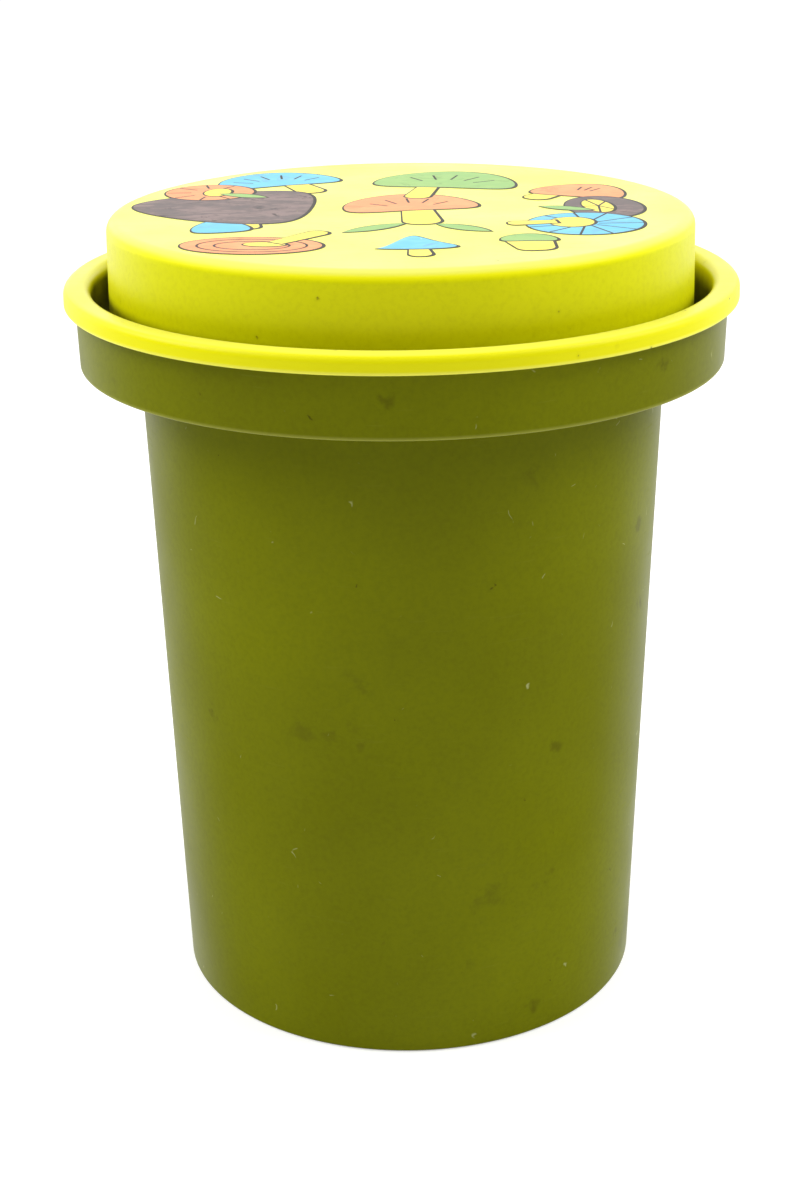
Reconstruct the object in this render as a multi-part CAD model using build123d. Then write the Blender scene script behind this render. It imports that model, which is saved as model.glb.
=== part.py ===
from build123d import *
import os
from math import cos, radians, sin

# A round storage canister: a tapered tub with a wide stepped collar, and a lid that plugs into the collar.
# All sizes are millimetres. +Z is up, and the origin is the centre of the base.

# Driving dimensions
wall = 2.0                      # moulded wall of the tub and the collar
base_radius = 60.8              # outside of the tub at the table
neck_radius = 66.0              # outside of the tub under the collar
neck_height = 167.9             # flat underside of the collar
collar_radius = 80.7            # outside of the collar at its underside
collar_top_radius = 81.1        # outside of the collar at its top edge
collar_top = 185.8              # top edge of the collar, inside the lid's rim
foot_width = 4.0                # ring that the canister stands on
foot_height = 1.5               # recess of the base panel above the table
gate_radius = 2.2               # moulding gate in the middle of the base
gate_height = 0.8

lid_wall = 1.9
crown_radius = 72.3             # outside of the crown at its top
crown_foot_radius = 72.9        # outside of the crown at the channel's floor
crown_top = 203.5
crown_edge = 2.9                # rounding of the crown's top edge
channel_floor = 174.0           # top of the floor of the channel round the crown
lip_radius = 77.1               # inside of the rim
lip_edge = 2.2                  # rounding of the rim's inner edge
rim_radius = 83.8
rim_edge = 1.8                  # rounding of the rim's outer edge
rim_top = 187.8
rim_bottom = 183.3
fit_gap = 0.3                   # clearance between the lid's plug and the collar
draft = 0.1                     # lean of the rim's faces, so that the lid leaves its mould

# The print
ink_thickness = 0.08
line_width = 0.65               # outline of a printed shape
line_shift = 0.2                # how far an outline leans to one side, so that it looks brushed
mark_width = 0.6                # gill lines, rings and flecks

taper = (neck_radius - base_radius) / neck_height


def turned(corners):
    """A solid of revolution about Z, from a closed outline of corners: radius, height and rounding."""
    points = [(radius, height) for radius, height, _ in corners]
    outline = FilletPolyline(*points, radius=[rounding for _, _, rounding in corners], close=True)
    return revolve(Plane.XZ * make_face(outline), Axis.Z)


def canister_body():
    """Tub, base and collar as one moulding."""
    floor = foot_height + wall
    ledge = neck_height + wall
    return turned([
        (0, foot_height - gate_height, 0),
        (gate_radius, foot_height - gate_height, 0.2),
        (gate_radius + 0.3, foot_height, 0.2),
        (base_radius - foot_width, foot_height, 0.5),
        (base_radius - foot_width + 0.4, 0, 0.4),
        (base_radius, 0, 0.8),
        (neck_radius, neck_height, 0.5),
        (collar_radius, neck_height, 0.5),
        (collar_top_radius, collar_top, 0.6),
        (collar_top_radius - wall, collar_top, 0.6),
        (collar_radius - wall + 0.2, ledge, 1.0),
        (neck_radius - wall, ledge, 0.7),
        (base_radius - wall + floor * taper, floor, 2.5),
        (0, floor, 0),
    ])


def lid():
    """Crown, channel, plug wall and rim as one moulding. The rim's web rests on the collar's top edge."""
    plug_radius = collar_top_radius - wall - fit_gap
    plug_foot = channel_floor - lid_wall
    return turned([
        (0, crown_top, 0),
        (crown_radius, crown_top, crown_edge),
        (crown_foot_radius, channel_floor, 0.8),
        (lip_radius - draft, channel_floor, 0.8),
        (lip_radius, rim_top, lip_edge),
        (rim_radius - draft, rim_top, rim_edge),
        (rim_radius, rim_bottom, 0.4),
        (rim_radius - lid_wall, rim_bottom, 0.4),
        (rim_radius - lid_wall, collar_top, 0.3),
        (plug_radius, collar_top, 0.3),
        (plug_radius - 3 * draft, plug_foot, 0.9),
        (crown_foot_radius - lid_wall, plug_foot, 0.9),
        (crown_radius - lid_wall, crown_top - lid_wall, 1.4),
        (0, crown_top - lid_wall, 0),
    ])


# Printed shapes, each drawn about its own origin


def oval(width, height):
    return Ellipse(width / 2, height / 2)


def dome(width, height):
    """A cap from the side: round crown, rounded brim and a slightly hollow underside."""
    return make_face(
        Spline(
            (-0.50 * width, 0),
            (-0.38 * width, 0.58 * height),
            (0, 0.88 * height),
            (0.38 * width, 0.58 * height),
            (0.50 * width, 0),
            (0, -0.12 * height),
            periodic=True,
        )
    )


def cone(width, height):
    """A pointed cap from the side."""
    return make_face(
        Spline(
            (-0.48 * width, 0.03 * height),
            (-0.23 * width, 0.48 * height),
            (0, 0.88 * height),
            (0.23 * width, 0.48 * height),
            (0.48 * width, 0.03 * height),
            (0, -0.12 * height),
            periodic=True,
        )
    )


def stem(length, top, foot):
    """A stem that hangs down from its origin, with a rounded foot."""
    shape = Polygon(
        (-top / 2, 0), (top / 2, 0), (foot / 2, -length), (-foot / 2, -length), align=None
    )
    return fillet(shape.vertices().sort_by(Axis.Y)[:2], 0.42 * foot)


def leaf(length, width):
    """Two equal arcs that meet in points."""
    radius = (length**2 + width**2) / (4 * width)
    drop = radius - width / 2
    return (Pos(0, drop) * Circle(radius)) & (Pos(0, -drop) * Circle(radius))


def strokes(start, end, first, last, count):
    """Straight marks that fan out about the origin, from one ellipse to another."""
    marks = Sketch()
    for step in range(count):
        angle = first + (last - first) * step / max(count - 1, 1)
        inner = Vector(start[0] * cos(radians(angle)), start[1] * sin(radians(angle)))
        outer = Vector(end[0] * cos(radians(angle)), end[1] * sin(radians(angle)))
        middle = (inner + outer) / 2
        turn = Vector(1, 0).get_signed_angle(outer - inner, Vector(0, 0, 1))
        marks += Pos(*middle) * Rot(0, 0, turn) * Rectangle((outer - inner).length, mark_width)
    return marks


def ring(width, height):
    return oval(width, height) - oval(width - 2 * mark_width, height - 2 * mark_width)


def printed_shapes():
    """Front to back: ink, shape, marks drawn on it, x, y and turn. Caps, stems and leaves of one small wood."""
    gills = strokes((3, 3), (14, 13.5), 0, 325, 11)
    return [
        # right side
        ("yellow", stem(13, 5.0, 6.0), None, 38, -19, -82),
        ("yellow", oval(12, 13), None, 41, -20, 0),
        ("blue", oval(29, 28), gills, 44, -22, 0),
        ("green", leaf(15, 5.5), None, 41, -2, -24),
        ("yellow", oval(8.5, 18), strokes((0, 0), (4.2, 9), 40, 320, 5), 49, 0.5, 8),
        ("brown", oval(20, 29), None, 50.5, -0.5, 8),
        ("orange", dome(25, 19), strokes((5, 7), (7.5, 12), 70, 110, 3), 44, 16, -28),
        ("yellow", stem(12, 7, 9), None, 40, 20, -38),
        ("green", dome(14, 9), None, 29.5, -41, -4),
        ("yellow", stem(12, 12, 9), None, 29.5, -41, 8),
        ("green", dome(38, 25), strokes((9, 9), (15, 16), 40, 140, 5), 11, 32, -16),
        ("yellow", stem(20, 6, 8), None, 8, 33, -12),
        # middle
        ("orange", dome(34, 23), strokes((7, 8), (12, 14), 35, 145, 5), 3, 0, 6),
        ("yellow", stem(24, 8, 11), None, 4, 3, 4),
        ("green", leaf(19, 6), None, -6, -24, 35),
        ("green", leaf(17, 6), None, 15, -25, 142),
        ("blue", cone(20, 16), None, 4, -48, 4),
        ("yellow", stem(11, 5, 7), None, 4, -47, 4),
        # left side
        ("green", leaf(15, 5.5), None, -40, 21, -26),
        ("yellow", oval(8, 12), None, -47, 26, -8),
        ("orange", oval(24, 23), strokes((5, 6), (11.2, 10.8), 60, 300, 7), -49, 26, 0),
        ("brown", dome(42, 46), None, -27, 4, 84),
        ("blue", dome(14, 16), None, -42, -26, 10),
        ("yellow", stem(12, 6, 7), None, -37, -12, 6),
        ("yellow", stem(18, 5, 7), None, -29, -41, 140),
        ("yellow", oval(11, 6), None, -31, -42, -6),
        ("orange", oval(34, 20), ring(26, 15) + ring(18, 10), -34, -43, -6),
        ("blue", dome(33, 21), strokes((8, 8), (13.5, 14), 30, 150, 6), -31, 37, 16),
        ("yellow", stem(16, 7, 9), None, -28, 38, 24),
    ]


def print_films():
    """The ink films, cut so that no two overlap: outlines and marks in one ink, and each fill inside them."""
    films = {ink: Sketch() for ink in ("outline", "brown", "orange", "blue", "green", "yellow")}
    covered = Sketch()
    for ink, shape, marks, x, y, turn in printed_shapes():
        box = shape.bounding_box()
        shrink_x = 1 - 2 * line_width / box.size.X
        shrink_y = 1 - 2 * line_width / box.size.Y
        centred = Pos(box.center().X * (1 - shrink_x), box.center().Y * (1 - shrink_y))
        place = Pos(x, y) * Rot(0, 0, turn)
        fill = place * centred * scale(shape, (shrink_x, shrink_y, 1))
        fill = Pos(-line_shift, line_shift) * fill
        if marks:
            fill = fill - place * marks
        shape = place * shape
        films["outline"] += shape - fill - covered
        films[ink] += (fill & shape) - covered
        covered += shape
    return films


os.makedirs("parts", exist_ok=True)
export_step(canister_body(), "parts/canister_body.step")
export_step(lid(), "parts/lid.step")
for ink, film in print_films().items():
    export_step(Pos(0, 0, crown_top) * extrude(film, ink_thickness, dir=(0, 0, 1)), f"parts/ink_{ink}.step")
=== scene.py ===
import math
from functools import partial

import bpy
from mathutils import Matrix, Vector


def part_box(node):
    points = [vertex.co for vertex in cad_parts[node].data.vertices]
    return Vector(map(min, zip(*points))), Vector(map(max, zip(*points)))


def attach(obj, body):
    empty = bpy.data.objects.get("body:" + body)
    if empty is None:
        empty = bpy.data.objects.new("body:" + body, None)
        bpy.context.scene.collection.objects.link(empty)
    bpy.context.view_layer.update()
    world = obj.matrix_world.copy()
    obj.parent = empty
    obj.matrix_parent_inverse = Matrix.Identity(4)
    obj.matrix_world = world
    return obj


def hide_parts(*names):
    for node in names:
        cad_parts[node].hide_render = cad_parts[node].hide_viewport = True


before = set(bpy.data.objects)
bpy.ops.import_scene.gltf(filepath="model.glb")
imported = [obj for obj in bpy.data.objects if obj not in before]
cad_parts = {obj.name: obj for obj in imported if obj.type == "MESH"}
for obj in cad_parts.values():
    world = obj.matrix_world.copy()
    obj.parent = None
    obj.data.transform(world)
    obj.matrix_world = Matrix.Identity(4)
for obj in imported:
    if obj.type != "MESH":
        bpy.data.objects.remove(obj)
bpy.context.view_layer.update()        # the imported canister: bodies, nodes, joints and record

mm = 0.001
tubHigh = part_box("canister_body")[1]
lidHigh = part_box("lid")[1]
crownTop = lidHigh.z


def addNode(tree, kind, inputs=None, **settings):
    # one node with its settings; an input takes a value, a socket, or a node whose first output feeds it
    node = tree.nodes.new(kind)
    for name, value in settings.items():
        setattr(node, name, value)
    for key, value in (inputs or {}).items():
        if isinstance(value, bpy.types.Node):
            value = value.outputs[0]
        if isinstance(value, bpy.types.NodeSocket):
            tree.links.new(value, node.inputs[key])
        else:
            node.inputs[key].default_value = value
    return node


def linear(hexColour):
    # sRGB hex to the linear values that shaders use
    channels = [int(hexColour[i:i + 2], 16) / 255 for i in (1, 3, 5)]
    return [c / 12.92 if c <= 0.04045 else ((c + 0.055) / 1.055) ** 2.4 for c in channels] + [1.0]


def perMetre(sizeMm):
    # scale of a texture whose pattern repeats about every sizeMm
    return 1000 / sizeMm


# Outlines of the two mouldings

def roundedOutline(corners, arcSteps=6, longestSpan=4.0, holdingGap=0.35):
    # corners are (radius, height, rounding) in mm, from the axis outside, round, and back to the axis.
    # A straight run gets a point just inside each end, so that it shades flat between its roundings.
    arcs = []
    for number, (radius, height, rounding) in enumerate(corners):
        corner = Vector((radius, height))
        if rounding <= 0:
            arcs.append([corner])
            continue
        before = (Vector(corners[number - 1][:2]) - corner).normalized()
        after = (Vector(corners[number + 1][:2]) - corner).normalized()
        half = before.angle(after) / 2
        centre = corner + (before + after).normalized() * rounding / math.sin(half)
        start = corner + before * rounding / math.tan(half) - centre
        end = corner + after * rounding / math.tan(half) - centre
        turn = start.angle_signed(end)
        arcs.append([centre + Matrix.Rotation(-turn * step / arcSteps, 2) @ start
                     for step in range(arcSteps + 1)])
    points = list(arcs[0])
    for arc in arcs[1:]:
        here, there = points[-1], arc[0]
        length = (there - here).length
        if length > 3 * holdingGap:
            inside = length - 2 * holdingGap
            spans = math.ceil(inside / longestSpan)
            stops = [holdingGap + inside * span / spans for span in range(spans + 1)]
            points += [here.lerp(there, stop / length) for stop in stops]
        points += arc
    return points


def latheTree():
    # Geometry Nodes lathe: a grid with one column for each step round the axis and one row for each point of
    # the outline. A slow noise leaves the moulding a little out of round and lets its long faces sink.
    tree = bpy.data.node_groups.new("mouldingLathe", "GeometryNodeTree")
    sockets = {"Outline": "NodeSocketGeometry", "Segments": "NodeSocketInt",
               "Out of Round": "NodeSocketFloat", "Sink": "NodeSocketFloat",
               "Seed": "NodeSocketFloat", "Material": "NodeSocketMaterial"}
    for name, kind in sockets.items():
        tree.interface.new_socket(name, in_out="INPUT", socket_type=kind)
    tree.interface.new_socket("Moulding", in_out="OUTPUT", socket_type="NodeSocketGeometry")
    add = partial(addNode, tree)
    given = add("NodeGroupInput").outputs

    rows = add("GeometryNodeAttributeDomainSize", {0: given["Outline"]}).outputs["Point Count"]
    columns = add("ShaderNodeMath", {0: given["Segments"], 1: 1.0}, operation="ADD")
    grid = add("GeometryNodeMeshGrid", {"Size X": 1.0, "Size Y": 1.0,
                                        "Vertices X": columns, "Vertices Y": rows})
    place = add("ShaderNodeSeparateXYZ", {0: add("GeometryNodeInputPosition")})
    angle = add("ShaderNodeMapRange", {"Value": place.outputs["X"], "From Min": -0.5, "From Max": 0.5,
                                       "To Max": 2 * math.pi})
    lastRow = add("ShaderNodeMath", {0: rows, 1: 1.0}, operation="SUBTRACT")
    row = add("ShaderNodeMath", {0: place.outputs["Y"], 1: 0.5}, operation="ADD")
    row = add("ShaderNodeMath", {0: row, 1: lastRow}, operation="MULTIPLY")
    row = add("FunctionNodeFloatToInt", {0: row}, rounding_mode="ROUND")
    point = add("GeometryNodeSampleIndex", {"Geometry": given["Outline"], "Index": row},
                data_type="FLOAT_VECTOR", domain="POINT")
    tree.links.new(add("GeometryNodeInputPosition").outputs[0], point.inputs["Value"])
    point = add("ShaderNodeSeparateXYZ", {0: point})
    radius, height = point.outputs["X"], point.outputs["Z"]
    east = add("ShaderNodeMath", {0: angle}, operation="COSINE")
    north = add("ShaderNodeMath", {0: angle}, operation="SINE")

    # out of round, read on a circle so that it closes on itself, and nothing at the axis
    climb = add("ShaderNodeMath", {0: height, 1: 6.0}, operation="MULTIPLY")
    circle = add("ShaderNodeCombineXYZ", {0: east, 1: north, 2: climb})
    wobble = add("ShaderNodeTexNoise", {"Vector": circle, "W": given["Seed"], "Scale": 0.9, "Detail": 1.0},
                 noise_dimensions="4D")
    wobble = add("ShaderNodeMath", {0: wobble, 1: 0.5}, operation="SUBTRACT")
    wobble = add("ShaderNodeMath", {0: wobble, 1: given["Out of Round"]}, operation="MULTIPLY")
    reach = add("ShaderNodeMapRange", {"Value": radius, "From Max": 60 * mm})
    radius = add("ShaderNodeMath", {0: wobble, 1: reach, 2: radius}, operation="MULTIPLY_ADD")

    # sink of the faces, along the axis and none at the foot, which stands flat
    x = add("ShaderNodeMath", {0: radius, 1: east}, operation="MULTIPLY")
    y = add("ShaderNodeMath", {0: radius, 1: north}, operation="MULTIPLY")
    even = add("ShaderNodeCombineXYZ", {0: x, 1: y, 2: height})
    slow = add("ShaderNodeTexNoise", {"Vector": even, "W": given["Seed"], "Scale": perMetre(70),
                                      "Detail": 1.0}, noise_dimensions="4D")
    slow = add("ShaderNodeMath", {0: slow, 1: 0.5}, operation="SUBTRACT")
    slow = add("ShaderNodeMath", {0: slow, 1: given["Sink"]}, operation="MULTIPLY")
    free = add("ShaderNodeMapRange", {"Value": height, "From Min": 3 * mm, "From Max": 30 * mm})
    height = add("ShaderNodeMath", {0: slow, 1: free, 2: height}, operation="MULTIPLY_ADD")

    sunk = add("ShaderNodeCombineXYZ", {0: x, 1: y, 2: height})
    turned = add("GeometryNodeSetPosition", {"Geometry": grid, "Position": sunk})
    closed = add("GeometryNodeMergeByDistance", {"Geometry": turned, "Distance": 0.01 * mm})
    smooth = add("GeometryNodeSetShadeSmooth", {"Geometry": closed})
    real = add("GeometryNodeRealizeInstances", {"Geometry": smooth})
    dressed = add("GeometryNodeSetMaterial", {"Geometry": real, "Material": given["Material"]})
    add("NodeGroupOutput", {0: dressed})
    return tree


def turnMoulding(name, corners, tree, sizes, material):
    # runs the lathe on an outline and keeps the result as a plain mesh
    values = {"Segments": sizes["segments"], "Out of Round": sizes["outOfRound"] * mm,
              "Sink": sizes["sink"] * mm, "Seed": sizes["seed"], "Material": material}
    points = roundedOutline(corners)
    mesh = bpy.data.meshes.new(name + "Outline")
    places = [(p.x * mm, 0, p.y * mm) for p in points]
    mesh.from_pydata(places, [(i, i + 1) for i in range(len(points) - 1)], [])
    source = bpy.data.objects.new(name + "Outline", mesh)
    bpy.context.scene.collection.objects.link(source)
    modifier = source.modifiers.new("lathe", "NODES")
    modifier.node_group = tree
    for item in tree.interface.items_tree:
        if item.in_out == "INPUT" and item.name in values:
            modifier[item.identifier] = values[item.name]
    graph = bpy.context.evaluated_depsgraph_get()
    piece = bpy.data.objects.new(name, bpy.data.meshes.new_from_object(source.evaluated_get(graph)))
    piece.data.name = name
    if piece.data.materials[0] is None:
        piece.data.materials.pop(index=0)     # the slot that the grid starts with
    bpy.context.scene.collection.objects.link(piece)
    bpy.data.objects.remove(source)
    return piece


# Materials

def newMaterial(name, **fixed):
    # a material with one Principled shader, whose whole-surface values are set on its own sockets
    material = bpy.data.materials.new(name)
    material.use_nodes = True
    tree = material.node_tree
    shader = tree.nodes["Principled BSDF"]
    for socket, value in fixed.items():
        shader.inputs[socket].default_value = value
    return material, tree, shader


def fromAxis(add, place):
    # how far the shaded point is from the canister's axis
    flat = add("ShaderNodeCombineXYZ", {0: place.outputs["X"], 1: place.outputs["Y"]})
    return add("ShaderNodeVectorMath", {0: flat}, operation="LENGTH").outputs["Value"]


def thinLines(add, noise, reach):
    # a thin line wherever the noise passes its middle value; reach is how far from it the line fades out
    away = add("ShaderNodeMath", {0: noise, 1: 0.5}, operation="SUBTRACT")
    away = add("ShaderNodeMath", {0: away}, operation="ABSOLUTE")
    return add("ShaderNodeMapRange", {"Value": away, "From Min": reach, "From Max": 0.0})


def oliveTubPlastic():
    # Polyethylene, injection moulded: a satin skin with a faint orange peel. The pigment is mottled and
    # drifts slowly, and long use leaves smudges, stains, specks and short pale nicks. The collar edge has a
    # painted highlight.
    material, tree, shader = newMaterial("polyethyleneOliveMoulded",
                                         **{"IOR": 1.51, "Specular IOR Level": 0.06})
    add = partial(addNode, tree)
    spot = add("ShaderNodeTexCoord").outputs["Object"]
    place = add("ShaderNodeSeparateXYZ", {0: spot})

    drift = add("ShaderNodeTexNoise", {"Vector": spot, "Scale": perMetre(60), "Detail": 3.0})
    drift = add("ShaderNodeMapRange", {"Value": drift, "From Min": 0.35, "From Max": 0.65})
    colour = add("ShaderNodeMix", {0: drift, 6: linear("#6d7100"), 7: linear("#757a00")}, data_type="RGBA")

    mottle = add("ShaderNodeTexNoise", {"Vector": spot, "Scale": perMetre(1.3), "Detail": 3.0,
                                        "Roughness": 0.65})
    mottle = add("ShaderNodeMapRange", {"Value": mottle, "From Min": 0.4, "From Max": 0.75, "To Max": 0.3})
    colour = add("ShaderNodeMix", {0: mottle, 6: colour.outputs[2], 7: linear("#565902")}, data_type="RGBA")

    # brown stains a few mm wide where two slow noises agree
    stain = add("ShaderNodeTexNoise", {"Vector": spot, "Scale": perMetre(9), "Detail": 5.0,
                                       "Roughness": 0.65})
    patch = add("ShaderNodeTexNoise", {"Vector": spot, "Scale": perMetre(48), "Detail": 1.0})
    stain = add("ShaderNodeMath", {0: stain, 1: patch}, operation="MULTIPLY")
    stain = add("ShaderNodeMapRange", {"Value": stain, "From Min": 0.38, "From Max": 0.5, "To Max": 0.3},
                interpolation_type="SMOOTHSTEP")
    colour = add("ShaderNodeMix", {0: stain, 6: colour.outputs[2], 7: linear("#4d4a10")}, data_type="RGBA")

    # smudges about 3 mm and specks about 0.8 mm across: ragged dots, each in its own cell, most left out.
    # A row is the cell in mm, the dot's outside and core as parts of it, the share left out and the depth.
    ragged = add("ShaderNodeTexNoise", {"Vector": spot, "Scale": perMetre(2.6), "Detail": 4.0})
    ragged = add("ShaderNodeVectorMath", {0: ragged.outputs["Color"], 1: (6 * mm,) * 3}, operation="MULTIPLY")
    ragged = add("ShaderNodeVectorMath", {0: spot, 1: ragged}, operation="ADD")
    for cell, outer, inner, leftOut, depth in ((21, 0.13, 0.03, 0.6, 0.38), (8, 0.07, 0.03, 0.86, 0.7)):
        cells = add("ShaderNodeTexVoronoi", {"Vector": ragged, "Scale": perMetre(cell)})
        dot = add("ShaderNodeMapRange", {"Value": cells, "From Min": outer, "From Max": inner,
                                         "To Max": depth}, interpolation_type="SMOOTHSTEP")
        chance = add("ShaderNodeSeparateColor", {0: cells.outputs["Color"]})
        chance = add("ShaderNodeMath", {0: chance, 1: leftOut}, operation="GREATER_THAN")
        dot = add("ShaderNodeMath", {0: dot, 1: chance}, operation="MULTIPLY")
        colour = add("ShaderNodeMix", {0: dot, 6: colour.outputs[2], 7: linear("#3c3608")}, data_type="RGBA")

    # rubbed lines, short and faint: noise that is stretched along the circumference
    turned = add("ShaderNodeMapping", {"Vector": spot, "Scale": (1.0, 1.0, 14.0)})
    rubbed = add("ShaderNodeTexNoise", {"Vector": turned, "Scale": perMetre(13), "Detail": 4.0,
                                        "Roughness": 0.6})
    rubbed = add("ShaderNodeMapRange", {"Value": rubbed, "From Min": 0.62, "From Max": 0.74},
                 interpolation_type="SMOOTHSTEP")
    faint = add("ShaderNodeMath", {0: rubbed, 1: 0.07}, operation="MULTIPLY")
    colour = add("ShaderNodeMix", {0: faint, 6: colour.outputs[2], 7: linear("#9a9c46")}, data_type="RGBA")

    # pale nicks: short pieces of a curling line, 0.3 mm wide, here and there
    line = add("ShaderNodeTexNoise", {"Vector": spot, "Scale": perMetre(7), "Detail": 1.0})
    line = thinLines(add, line, 0.012)
    where = add("ShaderNodeTexNoise", {"Vector": spot, "Scale": perMetre(4.5), "Detail": 2.0})
    where = add("ShaderNodeMapRange", {"Value": where, "From Min": 0.68, "From Max": 0.72, "To Max": 0.5})
    nick = add("ShaderNodeMath", {0: line, 1: where}, operation="MULTIPLY")
    colour = add("ShaderNodeMix", {0: nick, 6: colour.outputs[2], 7: linear("#c3c68c")}, data_type="RGBA")

    # painted highlight: the collar's lower edge is painted pale, a little way up its side and in along its
    # underside
    low = (tubSizes["neckHeight"] + 0.1) * mm
    collar = tubHigh.x - tubSizes["collarFlare"] * mm
    edge = add("ShaderNodeMapRange", {"Value": place.outputs["Z"], "From Min": low + 0.9 * mm,
                                      "From Max": low, "To Max": 0.65})
    outside = add("ShaderNodeMapRange", {"Value": fromAxis(add, place), "From Min": collar - 1.1 * mm,
                                         "From Max": collar - 0.3 * mm})
    above = add("ShaderNodeMath", {0: place.outputs["Z"], 1: low - 0.6 * mm}, operation="GREATER_THAN")
    for bound in (outside, above):
        edge = add("ShaderNodeMath", {0: edge, 1: bound}, operation="MULTIPLY")
    # pale olive of the painted highlight on the collar's edge
    colour = add("ShaderNodeMix", {0: edge, 6: colour.outputs[2], 7: linear("#a8a850")}, data_type="RGBA")
    tree.links.new(colour.outputs[2], shader.inputs["Base Color"])

    # satin, a little glossier where hands have polished it and duller in the rubbed lines
    handled = add("ShaderNodeTexNoise", {"Vector": spot, "Scale": perMetre(34), "Detail": 2.0})
    rough = add("ShaderNodeMapRange", {"Value": handled, "From Min": 0.3, "From Max": 0.7,
                                       "To Min": 0.30, "To Max": 0.40})
    rough = add("ShaderNodeMath", {0: rubbed, 1: 0.10, 2: rough}, operation="MULTIPLY_ADD")
    tree.links.new(rough.outputs[0], shader.inputs["Roughness"])

    # orange peel about 1.6 mm across and 6 micrometres deep, a finer grain over it, then the nicks
    peel = add("ShaderNodeTexNoise", {"Vector": spot, "Scale": perMetre(1.6), "Detail": 2.0})
    bump = add("ShaderNodeBump", {"Height": peel, "Distance": 0.006 * mm, "Strength": 0.6})
    grain = add("ShaderNodeTexNoise", {"Vector": spot, "Scale": perMetre(0.5), "Detail": 1.0})
    bump = add("ShaderNodeBump", {"Height": grain, "Distance": 0.0025 * mm, "Strength": 0.6, "Normal": bump})
    bump = add("ShaderNodeBump", {"Height": nick, "Distance": 0.02 * mm, "Strength": 0.5, "Normal": bump},
               invert=True)
    tree.links.new(bump.outputs[0], shader.inputs["Normal"])
    return material


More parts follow.
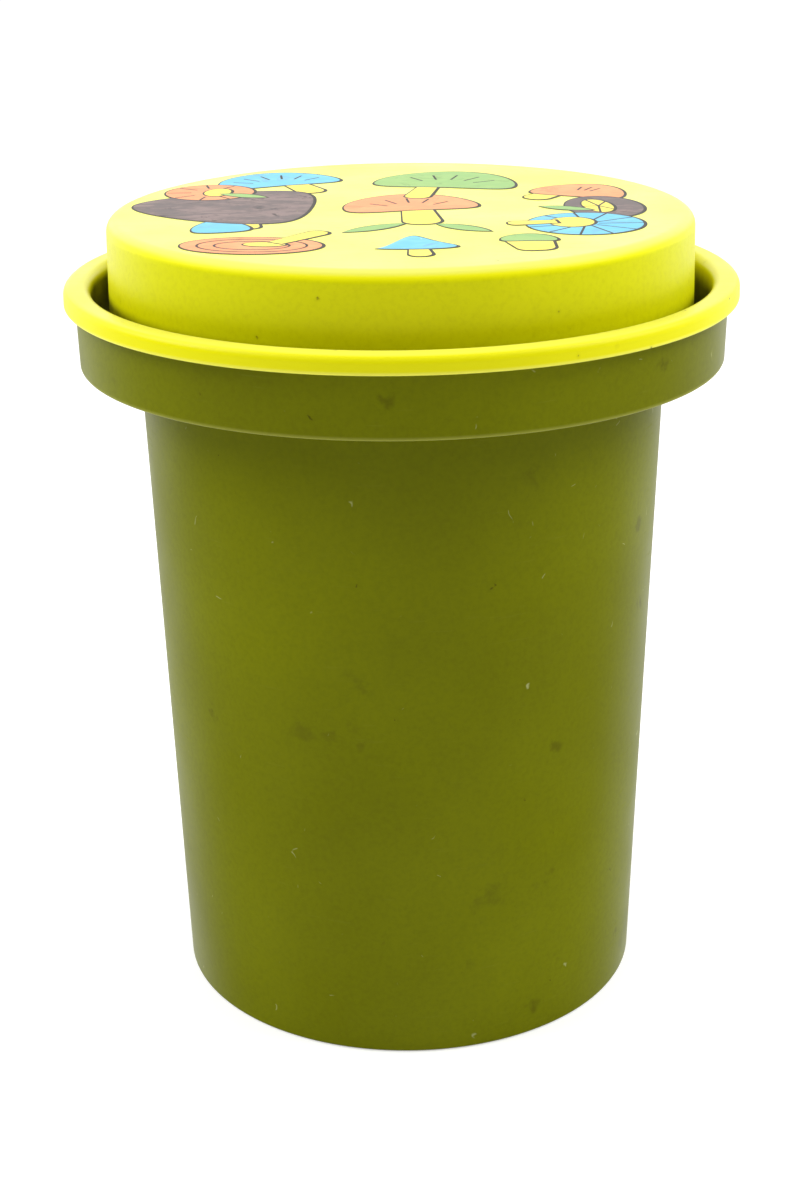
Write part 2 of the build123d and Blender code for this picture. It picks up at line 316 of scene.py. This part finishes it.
def yellowLidPlastic():
    # Polyethylene, injection moulded, in a bright yellow: satin like the tub, its flat tops painted pale as a
    # painted reflection and its rim and rounding given painted highlights. Fine hairlines, dark specks, and
    # dirt with painted shade in the channel.
    s = lidSizes
    material, tree, shader = newMaterial("polyethyleneYellowMoulded",
                                         **{"IOR": 1.51, "Specular IOR Level": 0.12})
    add = partial(addNode, tree)
    spot = add("ShaderNodeTexCoord").outputs["Object"]
    place = add("ShaderNodeSeparateXYZ", {0: spot})

    drift = add("ShaderNodeTexNoise", {"Vector": spot, "Scale": perMetre(45), "Detail": 3.0})
    drift = add("ShaderNodeMapRange", {"Value": drift, "From Min": 0.35, "From Max": 0.65})
    colour = add("ShaderNodeMix", {0: drift, 6: linear("#dcdd00"), 7: linear("#e1e001")}, data_type="RGBA")

    mottle = add("ShaderNodeTexNoise", {"Vector": spot, "Scale": perMetre(1.4), "Detail": 3.0,
                                        "Roughness": 0.65})
    mottle = add("ShaderNodeMapRange", {"Value": mottle, "From Min": 0.45, "From Max": 0.75, "To Max": 0.16})
    colour = add("ShaderNodeMix", {0: mottle, 6: colour.outputs[2], 7: linear("#a8a400")}, data_type="RGBA")

    # painted light: the rim gets a brighter, warmer yellow, the crown's rounding a painted highlight, and the
    # flat tops a pale painted reflection
    radius = fromAxis(add, place)
    onRim = add("ShaderNodeMath", {0: radius, 1: (s["lipRadius"] - 1) * mm}, operation="GREATER_THAN")
    # painted light: a brighter, warmer yellow over the whole rim
    colour = add("ShaderNodeMix", {0: onRim, 6: colour.outputs[2], 7: linear("#ebe604")}, data_type="RGBA")
    # painted highlight: a bright yellow band on the crown's rounding
    roundingHighlight = add("ShaderNodeMapRange", {"Value": place.outputs["Z"], "From Min": crownTop - 2.9 * mm,
                                       "From Max": crownTop - 1.5 * mm, "To Max": 0.9},
                interpolation_type="SMOOTHSTEP")
    colour = add("ShaderNodeMix", {0: roundingHighlight, 6: colour.outputs[2], 7: linear("#f6f200")}, data_type="RGBA")
    # painted reflection: the crown's top and the rim's top are painted pale, as the bright room would make
    # them
    crownReflection = add("ShaderNodeMapRange", {"Value": place.outputs["Z"], "From Min": crownTop - 1.6 * mm,
                                       "From Max": crownTop - 0.4 * mm, "To Max": 0.9},
                interpolation_type="SMOOTHSTEP")
    rim = add("ShaderNodeMapRange", {"Value": place.outputs["Z"], "From Min": (s["rimTop"] - 0.5) * mm,
                                     "From Max": s["rimTop"] * mm, "To Max": 0.5},
              interpolation_type="SMOOTHSTEP")
    rim = add("ShaderNodeMath", {0: rim, 1: onRim}, operation="MULTIPLY")
    paintedTopReflection = add("ShaderNodeMath", {0: crownReflection, 1: rim}, operation="MAXIMUM")
    colour = add("ShaderNodeMix", {0: paintedTopReflection, 6: colour.outputs[2], 7: linear("#e6e56c")}, data_type="RGBA")

    # painted highlight: a pale line along the rim's lower edge and its arris, where the floor's light would
    # catch it
    edge = add("ShaderNodeMapRange", {"Value": place.outputs["Z"], "From Min": (s["rimBottom"] + 0.95) * mm,
                                      "From Max": (s["rimBottom"] + 0.4) * mm, "To Max": 0.4})
    onFace = add("ShaderNodeMath", {0: radius, 1: tubHigh.x + 0.9 * mm}, operation="GREATER_THAN")
    edge = add("ShaderNodeMath", {0: edge, 1: onFace}, operation="MULTIPLY")
    colour = add("ShaderNodeMix", {0: edge, 6: colour.outputs[2], 7: linear("#fdfb84")}, data_type="RGBA")

    # dirt and painted shade in the channel, darkest on its floor; the painted shade reaches higher on the
    # left
    low = s["channelFloor"] * mm
    thick = add("ShaderNodeMapRange", {"Value": place.outputs["X"],
                                       "From Min": -tubHigh.x, "From Max": tubHigh.x,
                                       "To Min": low + 10 * mm, "To Max": low + 6 * mm})
    dirtAndShade = add("ShaderNodeMapRange", {"Value": place.outputs["Z"], "From Min": low + 13.2 * mm,
                                      "From Max": thick, "To Max": 0.95}, interpolation_type="SMOOTHSTEP")
    uneven = add("ShaderNodeTexNoise", {"Vector": spot, "Scale": perMetre(6), "Detail": 4.0})
    uneven = add("ShaderNodeMapRange", {"Value": uneven, "From Min": 0.3, "From Max": 0.7, "To Min": 0.8})
    dirtAndShade = add("ShaderNodeMath", {0: dirtAndShade, 1: uneven}, operation="MULTIPLY")
    half = s["wall"] / 2 * mm
    for value, bound, side in ((radius, s["crownRadius"] * mm - half, "GREATER_THAN"),
                               (radius, s["lipRadius"] * mm + half, "LESS_THAN"),
                               (place.outputs["Z"], low - half, "GREATER_THAN")):
        inside = add("ShaderNodeMath", {0: value, 1: bound}, operation=side)
        dirtAndShade = add("ShaderNodeMath", {0: dirtAndShade, 1: inside}, operation="MULTIPLY")
    # dark olive for the dirt and the painted shade deep in the channel
    colour = add("ShaderNodeMix", {0: dirtAndShade, 6: colour.outputs[2], 7: linear("#4b4806")}, data_type="RGBA")

    # specks about 0.7 mm across, each in a soft stain: most of them low on the crown's side, on the right
    jitter = add("ShaderNodeTexNoise", {"Vector": spot, "Scale": perMetre(1.1), "Detail": 2.0})
    jitter = add("ShaderNodeVectorMath", {0: jitter.outputs["Color"], 1: (1.2 * mm,) * 3},
                 operation="MULTIPLY")
    ragged = add("ShaderNodeVectorMath", {0: spot, 1: jitter}, operation="ADD")
    cells = add("ShaderNodeTexVoronoi", {"Vector": ragged, "Scale": perMetre(4.4)})
    near = add("ShaderNodeMapRange", {"Value": cells, "From Min": 0.11, "From Max": 0.04, "To Max": 0.75})
    halo = add("ShaderNodeMapRange", {"Value": cells, "From Min": 0.24, "From Max": 0.0, "To Max": 0.14})
    chance = add("ShaderNodeSeparateColor", {0: cells.outputs["Color"]})
    bar = add("ShaderNodeMapRange", {"Value": place.outputs["Z"], "From Min": crownTop - 17.5 * mm,
                                     "From Max": crownTop - 3.5 * mm, "To Min": 0.66, "To Max": 0.95})
    bar = add("ShaderNodeMath", {0: onRim, 1: 0.2, 2: bar}, operation="MULTIPLY_ADD")
    aside = add("ShaderNodeMapRange", {"Value": place.outputs["X"],
                                       "From Min": -lidHigh.x, "From Max": lidHigh.x,
                                       "To Min": 0.14, "To Max": -0.22})
    bar = add("ShaderNodeMath", {0: bar, 1: aside}, operation="ADD")
    chance = add("ShaderNodeMath", {0: chance, 1: bar}, operation="GREATER_THAN")
    speck = add("ShaderNodeMath", {0: near, 1: halo}, operation="MAXIMUM")
    speck = add("ShaderNodeMath", {0: speck, 1: chance}, operation="MULTIPLY")
    colour = add("ShaderNodeMix", {0: speck, 6: colour.outputs[2], 7: linear("#5a4a10")}, data_type="RGBA")
    tree.links.new(colour.outputs[2], shader.inputs["Base Color"])

    # hairlines, from a stretched noise, in two directions
    lines = None
    for turn in (0.4, 1.9):
        turned = add("ShaderNodeMapping", {"Vector": spot, "Rotation": (0.0, 0.0, turn),
                                           "Scale": (1.0, 16.0, 4.0)})
        hair = add("ShaderNodeTexNoise", {"Vector": turned, "Scale": perMetre(30), "Detail": 2.0})
        hair = thinLines(add, hair, 0.008)
        lines = add("ShaderNodeMath", {0: lines, 1: hair}, operation="MAXIMUM") if lines else hair
    handled = add("ShaderNodeTexNoise", {"Vector": spot, "Scale": perMetre(28), "Detail": 2.0})
    rough = add("ShaderNodeMapRange", {"Value": handled, "From Min": 0.3, "From Max": 0.7,
                                       "To Min": 0.30, "To Max": 0.42})
    rough = add("ShaderNodeMath", {0: lines, 1: 0.12, 2: rough}, operation="MULTIPLY_ADD")
    tree.links.new(rough.outputs[0], shader.inputs["Roughness"])
    peel = add("ShaderNodeTexNoise", {"Vector": spot, "Scale": perMetre(1.4), "Detail": 2.0})
    bump = add("ShaderNodeBump", {"Height": peel, "Distance": 0.005 * mm, "Strength": 0.6})
    bump = add("ShaderNodeBump", {"Height": lines, "Distance": 0.01 * mm, "Strength": 0.6, "Normal": bump},
               invert=True)
    tree.links.new(bump.outputs[0], shader.inputs["Normal"])
    return material


def printedInk(name, hexColour, scuffColour, smudgeColour, scuffs, gloss):
    # Screen-printed vinyl ink: an even, slightly chalky film. It has rubbed pale in scuffs, holds dark
    # smudges, and is missing in pinholes, where the lid's own yellow shows. The brown film shows scuffs most.
    material, tree, shader = newMaterial("vinylInk" + name.capitalize() + "Printed",
                                         **{"IOR": 1.48, "Specular IOR Level": gloss})
    add = partial(addNode, tree)
    spot = add("ShaderNodeTexCoord").outputs["Object"]
    cloud = add("ShaderNodeTexNoise", {"Vector": spot, "Scale": perMetre(14), "Detail": 5.0,
                                       "Roughness": 0.62})
    streaks = add("ShaderNodeMapping", {"Vector": spot, "Rotation": (0.0, 0.0, 0.5),
                                        "Scale": (1.0, 3.0, 1.0)})
    streaks = add("ShaderNodeTexNoise", {"Vector": streaks, "Scale": perMetre(8), "Detail": 5.0,
                                         "Roughness": 0.65})
    worn = add("ShaderNodeMath", {0: cloud, 1: streaks}, operation="MULTIPLY")
    worn = add("ShaderNodeMapRange", {"Value": worn, "From Min": 0.18, "From Max": 0.34, "To Max": scuffs},
               interpolation_type="SMOOTHSTEP")
    colour = add("ShaderNodeMix", {0: worn, 6: linear(hexColour), 7: linear(scuffColour)}, data_type="RGBA")
    smudge = add("ShaderNodeTexNoise", {"Vector": spot, "Scale": perMetre(7), "Detail": 4.0, "Roughness": 0.7,
                                        "Distortion": 0.6})
    smudge = add("ShaderNodeMapRange", {"Value": smudge, "From Min": 0.54, "From Max": 0.7, "To Max": scuffs},
                 interpolation_type="SMOOTHSTEP")
    colour = add("ShaderNodeMix", {0: smudge, 6: colour.outputs[2], 7: linear(smudgeColour)},
                 data_type="RGBA")
    holes = add("ShaderNodeTexVoronoi", {"Vector": spot, "Scale": perMetre(5)})
    missing = add("ShaderNodeMapRange", {"Value": holes, "From Min": 0.06, "From Max": 0.03})
    chance = add("ShaderNodeSeparateColor", {0: holes.outputs["Color"]})
    chance = add("ShaderNodeMath", {0: chance, 1: 0.8}, operation="GREATER_THAN")
    missing = add("ShaderNodeMath", {0: missing, 1: chance}, operation="MULTIPLY")
    colour = add("ShaderNodeMix", {0: missing, 6: colour.outputs[2], 7: linear("#dedf0a")}, data_type="RGBA")
    tree.links.new(colour.outputs[2], shader.inputs["Base Color"])
    rough = add("ShaderNodeMapRange", {"Value": worn, "To Min": 0.42, "To Max": 0.6})
    tree.links.new(rough.outputs[0], shader.inputs["Roughness"])
    weave = add("ShaderNodeTexNoise", {"Vector": spot, "Scale": perMetre(0.6), "Detail": 1.0})
    bump = add("ShaderNodeBump", {"Height": weave, "Distance": 0.004 * mm, "Strength": 0.5})
    bump = add("ShaderNodeBump", {"Height": worn, "Distance": 0.02 * mm, "Strength": 0.6, "Normal": bump},
               invert=True)
    tree.links.new(bump.outputs[0], shader.inputs["Normal"])
    return material


# The tub: sizes in mm, and the outline round the wall, from the middle of the underside to the inner floor

tubSizes = {
    "wall": 2.0, "baseRadius": 60.8, "neckRadius": 66.0, "neckHeight": 167.9, "collarFlare": 0.4,
    "footWidth": 4.0, "footHeight": 1.5, "gateRadius": 2.2, "gateHeight": 0.8,
    "segments": 288, "outOfRound": 0.25, "sink": 0.2, "seed": 3.0,
}


def buildTub(lathe):
    s = tubSizes
    top, edge = tubHigh.z / mm, tubHigh.x / mm
    floor, ledge = s["footHeight"] + s["wall"], s["neckHeight"] + s["wall"]
    lean = (s["neckRadius"] - s["baseRadius"]) / s["neckHeight"]
    foot = s["baseRadius"] - s["footWidth"]
    corners = [
        (0, s["footHeight"] - s["gateHeight"], 0),
        (s["gateRadius"], s["footHeight"] - s["gateHeight"], 0.2),
        (s["gateRadius"] + 0.3, s["footHeight"], 0.2),
        (foot, s["footHeight"], 0.5),
        (foot + 0.4, 0, 0.4),
        (s["baseRadius"], 0, 0.8),
        (s["neckRadius"], s["neckHeight"], 0.5),
        (edge - s["collarFlare"], s["neckHeight"], 0.5),
        (edge, top, 0.6),
        (edge - s["wall"], top, 0.6),
        (edge - s["collarFlare"] - s["wall"] + 0.2, ledge, 1.0),
        (s["neckRadius"] - s["wall"], ledge, 0.7),
        (s["baseRadius"] - s["wall"] + floor * lean, floor, 2.5),
        (0, floor, 0),
    ]
    tub = turnMoulding("tub", corners, lathe, tubSizes, oliveTubPlastic())
    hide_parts("canister_body")
    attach(tub, "canister")


# The lid: round the wall too, from the middle of the crown's underside, by the rim, to the middle of its top

lidSizes = {
    "wall": 1.9, "crownRadius": 72.3, "crownFootRadius": 72.9, "crownEdge": 2.9, "channelFloor": 174.0,
    "lipRadius": 77.1, "lipEdge": 2.2, "rimTop": 187.8, "rimBottom": 183.3, "rimEdge": 1.8, "fitGap": 0.3,
    "segments": 288, "outOfRound": 0.2, "sink": 0.12, "seed": 8.0,
}


def buildLid(lathe):
    s = lidSizes
    top, rim, under = crownTop / mm, lidHigh.x / mm, s["rimBottom"]
    seat, plug = tubHigh.z / mm, tubHigh.x / mm - tubSizes["wall"] - s["fitGap"]
    below = s["channelFloor"] - s["wall"]
    corners = [
        (0, top - s["wall"], 0),
        (s["crownRadius"] - s["wall"], top - s["wall"], 1.4),
        (s["crownFootRadius"] - s["wall"], below, 0.9),
        (plug - 0.3, below, 0.9),
        (plug, seat, 0.3),
        (rim - s["wall"], seat, 0.3),
        (rim - s["wall"], under, 0.4),
        (rim, under, 0.4),
        (rim - 0.1, s["rimTop"], s["rimEdge"]),
        (s["lipRadius"], s["rimTop"], s["lipEdge"]),
        (s["lipRadius"] - 0.1, s["channelFloor"], 0.8),
        (s["crownFootRadius"], s["channelFloor"], 0.8),
        (s["crownRadius"], top, s["crownEdge"]),
        (0, top, 0),
    ]
    lid = turnMoulding("lidMoulding", corners, lathe, lidSizes, yellowLidPlastic())
    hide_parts("lid")
    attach(lid, "lid")


# The print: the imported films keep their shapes, and each gets its ink

inkColours = {
    # film: (ink, ink where it has rubbed, ink where it is smudged, how strongly, gloss)
    "outline": ("#1d1a12", "#4e4a38", "#12100c", 0.4, 0.1),
    "brown": ("#4a3834", "#8d7a76", "#2a1f1e", 0.85, 0.3),
    "orange": ("#e68c4c", "#f2b27e", "#c46e3c", 0.45, 0.3),
    "blue": ("#4fb4dc", "#8ccfe4", "#5f86a0", 0.5, 0.3),
    "green": ("#7fae52", "#a8c67c", "#5d8a3c", 0.45, 0.3),
    "yellow": ("#f2dc3a", "#f6e878", "#d9bd2c", 0.35, 0.3),
}


def dressPrint():
    for film, look in inkColours.items():
        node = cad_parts["ink_" + film]
        node.data.materials.clear()
        node.data.materials.append(printedInk(film, *look))


# Studio: a white floor, a bright wall behind, a dim room in front, and a softbox at each side. The camera
# sees the floor and the sky as pure white: whiteOut and seenSky are for its rays only.

studioSizes = {"floorRadius": 1.8, "floorSides": 96, "floorColour": "#e1e1e1", "tableGlow": 0.23,
               "whiteOut": 0.14, "backWall": 1.8, "ground": 0.65, "ceiling": 0.78, "seenSky": 1.05}
softboxes = {
    # width, height, power in watts, place, and the point that it faces
    "leftBox": (0.9, 0.9, 15, (-1.1, 0.0, 1.1), (0.0, 0.0, 0.1)),
    "rightBox": (0.9, 0.9, 15, (1.1, 0.0, 1.1), (0.0, 0.0, 0.1)),
}


def lightRoom():
    # the sky is the room: brightest at the back, dim in front, with a ceiling and a darker ground
    s = studioSizes
    world = bpy.data.worlds.new("studioSky")
    bpy.context.scene.world = world
    world.use_nodes = True
    tree = world.node_tree
    add = partial(addNode, tree)
    way = add("ShaderNodeSeparateXYZ", {0: add("ShaderNodeTexCoord").outputs["Generated"]})
    wall = add("ShaderNodeMapRange", {"Value": way.outputs["Y"], "From Max": 0.7, "To Max": s["backWall"]},
               interpolation_type="SMOOTHSTEP")
    above = add("ShaderNodeMapRange", {"Value": way.outputs["Z"], "From Min": 0.25, "From Max": 0.65},
                interpolation_type="SMOOTHSTEP")
    below = add("ShaderNodeMapRange", {"Value": way.outputs["Z"], "From Min": -0.15, "From Max": 0.0,
                                       "To Min": s["ground"], "To Max": 1.0})
    wall = add("ShaderNodeMath", {0: wall, 1: below}, operation="MULTIPLY")
    glow = add("ShaderNodeMix", {0: above, 2: wall, 3: s["ceiling"]})
    seen = add("ShaderNodeLightPath").outputs["Is Camera Ray"]
    glow = add("ShaderNodeMix", {0: seen, 2: glow, 3: s["seenSky"]})
    tree.links.new(glow.outputs[0], tree.nodes["Background"].inputs["Strength"])
    tree.nodes["Background"].inputs["Color"].default_value = (1, 1, 1, 1)


def layFloor():
    s = studioSizes
    turns = [2 * math.pi * i / s["floorSides"] for i in range(s["floorSides"])]
    ring = [(s["floorRadius"] * math.cos(turn), s["floorRadius"] * math.sin(turn), 0) for turn in turns]
    mesh = bpy.data.meshes.new("floor")
    mesh.from_pydata(ring, [], [list(range(s["floorSides"]))])
    floor = bpy.data.objects.new("floor", mesh)
    bpy.context.scene.collection.objects.link(floor)
    material, tree, shader = newMaterial("paperWhiteMatt", **{"Base Color": linear(s["floorColour"]),
                                                              "Roughness": 0.9, "Specular IOR Level": 0.0,
                                                              "Emission Color": (1, 1, 1, 1)})
    seen = addNode(tree, "ShaderNodeLightPath").outputs["Is Camera Ray"]
    bright = addNode(tree, "ShaderNodeMath", {0: seen, 1: s["whiteOut"], 2: s["tableGlow"]},
                     operation="MULTIPLY_ADD")
    tree.links.new(bright.outputs[0], shader.inputs["Emission Strength"])
    mesh.materials.append(material)
    floor.visible_glossy = False     # the walls mirror the dim room, not the paper


def hangSoftboxes():
    for name, (width, height, power, place, aim) in softboxes.items():
        light = bpy.data.lights.new(name, "AREA")
        light.shape, light.size, light.size_y, light.energy = "RECTANGLE", width, height, power
        box = bpy.data.objects.new(name, light)
        box.location = place
        box.rotation_euler = (Vector(aim) - Vector(place)).to_track_quat("-Z", "Y").to_euler()
        box.visible_camera = False
        bpy.context.scene.collection.objects.link(box)


# Camera: a 62.7 mm lens on a 36 mm frame, half a metre in front and looking down at the canister

cameraSizes = {"lens": 62.69, "sensor": 36.0, "distance": 0.5165, "height": 0.2990,
               "pitch": 0.3678, "yaw": -0.0020, "roll": -0.0136}


def placeCamera():
    c = cameraSizes
    forward = Vector((math.sin(c["yaw"]) * math.cos(c["pitch"]), math.cos(c["yaw"]) * math.cos(c["pitch"]),
                      -math.sin(c["pitch"])))
    right = Vector((math.cos(c["yaw"]), -math.sin(c["yaw"]), 0))
    up = right.cross(forward)
    tilted = right * math.cos(c["roll"]) + up * math.sin(c["roll"])
    upright = up * math.cos(c["roll"]) - right * math.sin(c["roll"])
    data = bpy.data.cameras.new("camera")
    data.lens, data.sensor_width, data.sensor_fit = c["lens"], c["sensor"], "AUTO"
    camera = bpy.data.objects.new("camera", data)
    camera.matrix_world = Matrix.Translation((0, -c["distance"], c["height"])) @ Matrix(
        (tilted, upright, -forward)).transposed().to_4x4()
    bpy.context.scene.collection.objects.link(camera)
    bpy.context.scene.camera = camera


lathe = latheTree()
buildTub(lathe)
print("tub turned")
buildLid(lathe)
print("lid turned")
dressPrint()
print("print inked")
lightRoom()
layFloor()
hangSoftboxes()
placeCamera()
bpy.context.scene.view_settings.view_transform = "Standard"
print("studio and camera placed")
